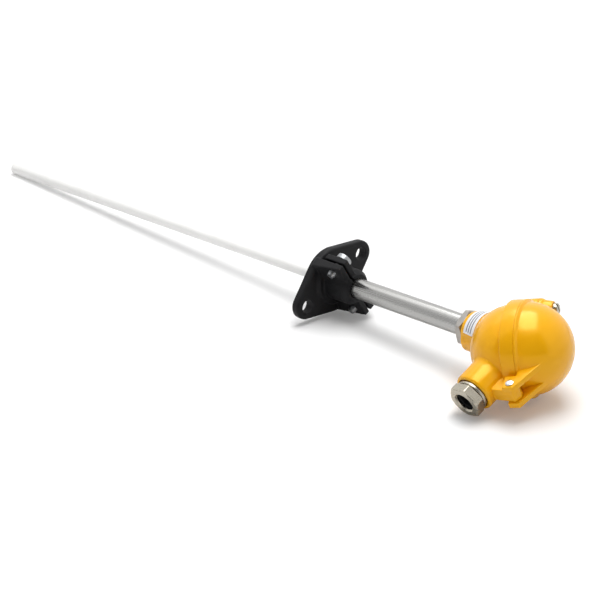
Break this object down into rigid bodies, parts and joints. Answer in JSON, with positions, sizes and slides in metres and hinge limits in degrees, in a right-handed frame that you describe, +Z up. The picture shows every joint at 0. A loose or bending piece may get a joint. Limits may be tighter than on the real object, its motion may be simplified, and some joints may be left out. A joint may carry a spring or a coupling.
{
  "type": "thermocouple",
  "caption": "Straight thermocouple with a ceramic sheath, steel support tube, sliding clamp flange and a yellow connection head with hinged domed lid and cable gland.",
  "frame": {"origin": "on the probe axis at the flange's furnace-side mounting face", "axes": "+X from the sheath's tip to the head along the probe, +Z up as the part lies, cable gland down and to -Y"},
  "size_m": [0.6116, 0.0967, 0.0678],
  "materials": {
    "black_cast_iron": "black paint on rough casting",
    "plated_steel": "bright zinc plating",
    "brushed_steel": "drawn tube, fine lengthways grain",
    "grey_steel": "dull grey",
    "white_ceramic": "smooth matte white",
    "insulator_ceramic": "matte off-white",
    "block_ceramic": "glazed off-white",
    "thermo_alloy": "dull drawn wire",
    "yellow_paint": "gloss yellow paint on a die casting",
    "plated_brass": "satin nickel plating",
    "brass": "plain",
    "black_rubber": "matte",
    "white_label": "white sticker with plain ruled lines"
  },
  "bodies": {
    "flange": {"flange": "black_cast_iron"},
    "probe": {"support_tube": "brushed_steel", "ceramic_sheath": "white_ceramic", "twin_bore_insulator": "insulator_ceramic", "positive_wire": "thermo_alloy", "negative_wire": "thermo_alloy", "hot_junction": "thermo_alloy", "neck_lock_nut": "grey_steel", "head_body": "yellow_paint", "neck_label": "white_label", "lid_gasket": "black_rubber", "hinge_pin": "plated_steel", "gland_body": "plated_brass", "gland_ring": "black_rubber", "gland_seal": "black_rubber", "terminal_block": "block_ceramic", "terminal_post_positive": "brass", "terminal_post_negative": "brass", "block_screw_upper": "plated_steel", "block_screw_lower": "plated_steel"},
    "clamp_half": {"clamp_half": "black_cast_iron"},
    "clamp_bolt_upper": {"clamp_bolt_upper": "plated_steel"},
    "clamp_bolt_lower": {"clamp_bolt_lower": "plated_steel"},
    "lid": {"lid": "yellow_paint"},
    "lid_screw": {"lid_screw": "plated_steel"},
    "gland_nut": {"gland_nut": "plated_brass"},
    "clamp_screw_positive_upper": {"clamp_screw_positive_upper": "plated_steel"},
    "clamp_screw_positive_lower": {"clamp_screw_positive_lower": "plated_steel"},
    "clamp_screw_negative_upper": {"clamp_screw_negative_upper": "plated_steel"},
    "clamp_screw_negative_lower": {"clamp_screw_negative_lower": "plated_steel"}
  },
  "joints": [
    {"name": "probe_slide", "type": "slide", "parent": "flange", "child": "probe", "axis": [1, 0, 0], "range_m": [-0.095, 0.01]},
    {"name": "clamp_open", "type": "slide", "parent": "flange", "child": "clamp_half", "axis": [0, 0.8593, 0.5114], "range_m": [0, 0.002]},
    {"name": "clamp_bolt_upper_turn", "type": "hinge", "parent": "clamp_half", "child": "clamp_bolt_upper", "pos_m": [0.0213, -0.00982, 0.0165], "axis": [0, 0.8593, 0.5114], "continuous": true},
    {"name": "clamp_bolt_lower_turn", "type": "hinge", "parent": "clamp_half", "child": "clamp_bolt_lower", "pos_m": [0.0213, 0.00982, -0.0165], "axis": [0, 0.8593, 0.5114], "continuous": true},
    {"name": "lid_hinge", "type": "hinge", "parent": "probe", "child": "lid", "pos_m": [0.20897, -0.03446, -0.01589], "axis": [0, 0.4188, -0.9081], "range_deg": [0, 110]},
    {"name": "lid_screw_turn", "type": "hinge", "parent": "lid", "child": "lid_screw", "pos_m": [0.18503, 0.03394, 0.01565], "axis": [0.8988, 0.3981, 0.1836], "continuous": true},
    {"name": "gland_nut_turn", "type": "hinge", "parent": "probe", "child": "gland_nut", "pos_m": [0.1828, -0.05004, -0.02308], "axis": [0, -0.9081, -0.4188], "continuous": true},
    {"name": "clamp_screw_positive_upper_turn", "type": "hinge", "parent": "probe", "child": "clamp_screw_positive_upper", "pos_m": [0.1883, 0.00749, -0.00645], "axis": [1, 0, 0], "continuous": true},
    {"name": "clamp_screw_positive_lower_turn", "type": "hinge", "parent": "probe", "child": "clamp_screw_positive_lower", "pos_m": [0.1883, 0.00005, -0.00989], "axis": [1, 0, 0], "continuous": true},
    {"name": "clamp_screw_negative_upper_turn", "type": "hinge", "parent": "probe", "child": "clamp_screw_negative_upper", "pos_m": [0.1883, -0.00005, 0.00989], "axis": [1, 0, 0], "continuous": true},
    {"name": "clamp_screw_negative_lower_turn", "type": "hinge", "parent": "probe", "child": "clamp_screw_negative_lower", "pos_m": [0.1883, -0.00749, 0.00645], "axis": [1, 0, 0], "continuous": true}
  ]
}
